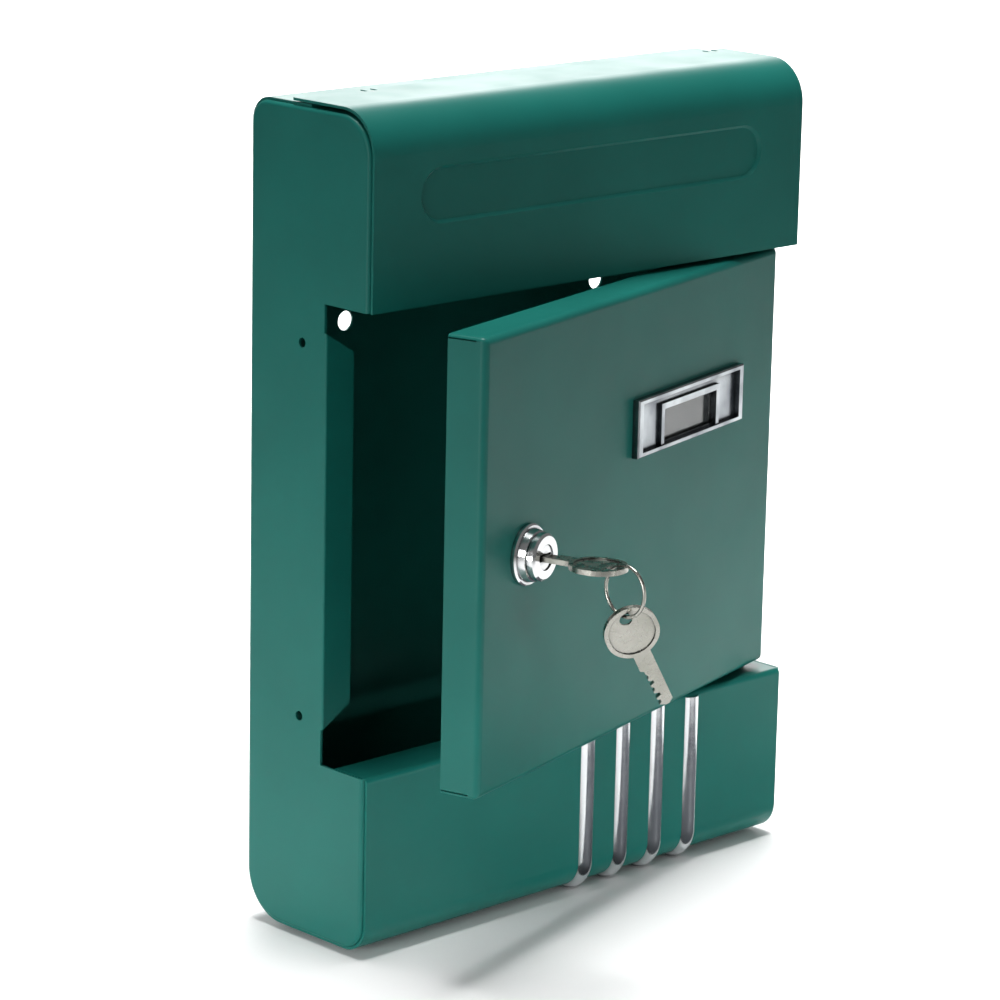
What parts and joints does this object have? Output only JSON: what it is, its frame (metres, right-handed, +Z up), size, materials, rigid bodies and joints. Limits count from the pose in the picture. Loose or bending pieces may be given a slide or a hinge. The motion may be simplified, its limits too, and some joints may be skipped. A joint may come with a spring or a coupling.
{
  "type": "wall mounted mailbox",
  "caption": "Sheet steel wall mailbox with a hinged top lid, a lockable side-hinged front door, card holder, cam lock with keys and bright trim strips.",
  "frame": {"origin": "midway between the two wall holes, on the outer face of the back", "axes": "+Z up the wall, +Y into the wall, so the front faces -Y and +X is to the right as seen from the front"},
  "size_m": [0.219, 0.1522, 0.3041],
  "materials": {
    "green_paint": "satin",
    "chrome_strip": "polished",
    "chrome_lock": "polished",
    "chrome_plastic": "gloss",
    "zinc_steel": "satin",
    "key_nickel": "satin",
    "nylon": "matte",
    "card": "matte",
    "clear_window": "gloss"
  },
  "bodies": {
    "box": {"side_panel_left": "green_paint", "side_panel_right": "green_paint", "body_wrap": "green_paint", "trim_strip_1": "chrome_strip", "trim_strip_2": "chrome_strip", "trim_strip_3": "chrome_strip", "trim_strip_4": "chrome_strip", "hinge_bracket_upper": "zinc_steel", "hinge_bracket_lower": "zinc_steel", "hinge_pins": "zinc_steel", "hinge_washers": "nylon", "hinge_rivets": "zinc_steel"},
    "lid": {"lid": "green_paint"},
    "door": {"door": "green_paint", "lock_housing": "chrome_lock", "lock_nut": "zinc_steel", "name_plate_frame": "chrome_plastic", "name_card": "card", "name_window": "clear_window", "name_plate_clips": "zinc_steel"},
    "plug": {"lock_plug": "chrome_lock", "lock_cam": "zinc_steel", "cam_screw": "zinc_steel", "key": "key_nickel"},
    "ring": {"key_ring": "key_nickel"},
    "spare": {"spare_key": "key_nickel"}
  },
  "joints": [
    {"name": "door_hinge", "type": "hinge", "parent": "box", "child": "door", "pos_m": [0.1, -0.05, -0.0655], "axis": [0, 0, 1], "range_deg": [-15, 80]},
    {"name": "lid_hinge", "type": "hinge", "parent": "box", "child": "lid", "pos_m": [0, -0.0223, 0.0869], "axis": [-1, 0, 0], "range_deg": [0, 95]},
    {"name": "lock_turn", "type": "hinge", "parent": "door", "child": "plug", "pos_m": [-0.07048, -0.10344, -0.065], "axis": [-0.2588, 0.9659, 0], "range_deg": [0, 90]},
    {"name": "ring_swivel", "type": "hinge", "parent": "plug", "child": "ring", "pos_m": [-0.06155, -0.13677, -0.065], "axis": [0, 0, 1], "range_deg": [0, 90]},
    {"name": "spare_slip", "type": "hinge", "parent": "ring", "child": "spare", "pos_m": [-0.06145, -0.14257, -0.0716], "axis": [0.9998, 0.0175, 0], "range_deg": [-90, 0]}
  ],
  "couplings": [
    {"joint": "ring_swivel", "follows": "lock_turn", "ratio": 1},
    {"joint": "spare_slip", "follows": "lock_turn", "ratio": -1}
  ]
}
